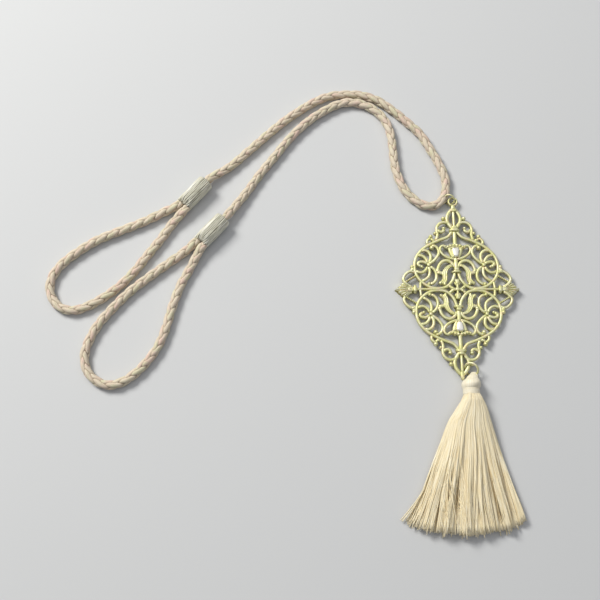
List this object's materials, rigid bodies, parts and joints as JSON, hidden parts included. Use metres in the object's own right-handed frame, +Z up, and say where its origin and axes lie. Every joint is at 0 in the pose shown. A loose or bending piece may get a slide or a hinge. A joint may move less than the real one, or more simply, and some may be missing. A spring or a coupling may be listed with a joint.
{
  "type": "curtain tieback tassel",
  "caption": "Braided curtain tieback cord with thread-wound sleeves and end loops, an openwork scroll pendant in gold-coloured metal, and a fanned thread tassel",
  "frame": {"origin": "the flat back of the pendant's centre boss, which lies on the surface, in the middle of the openwork plate", "axes": "+X to the pendant's right corner, away from the cord, +Y from the tassel towards the cord's ring, +Z up out of the pendant's face"},
  "size_m": [0.2631, 0.2616, 0.0099],
  "materials": {
    "braid": "soft four-strand braid",
    "wound_thread": "satin thread laid lengthwise",
    "gilt_casting": "pale gold plating, semi-gloss",
    "gilt_wire": "pale gold plating, semi-gloss",
    "tassel_thread": "satin thread"
  },
  "bodies": {
    "root": {"cord_run": "braid", "end_loop_upper": "braid", "end_loop_lower": "braid", "sleeve_upper": "wound_thread", "sleeve_lower": "wound_thread", "pendant": "gilt_casting", "cord_ring": "gilt_wire", "tassel_ring": "gilt_wire", "tassel": "tassel_thread", "tassel_binding": "tassel_thread"}
  },
  "joints": []
}
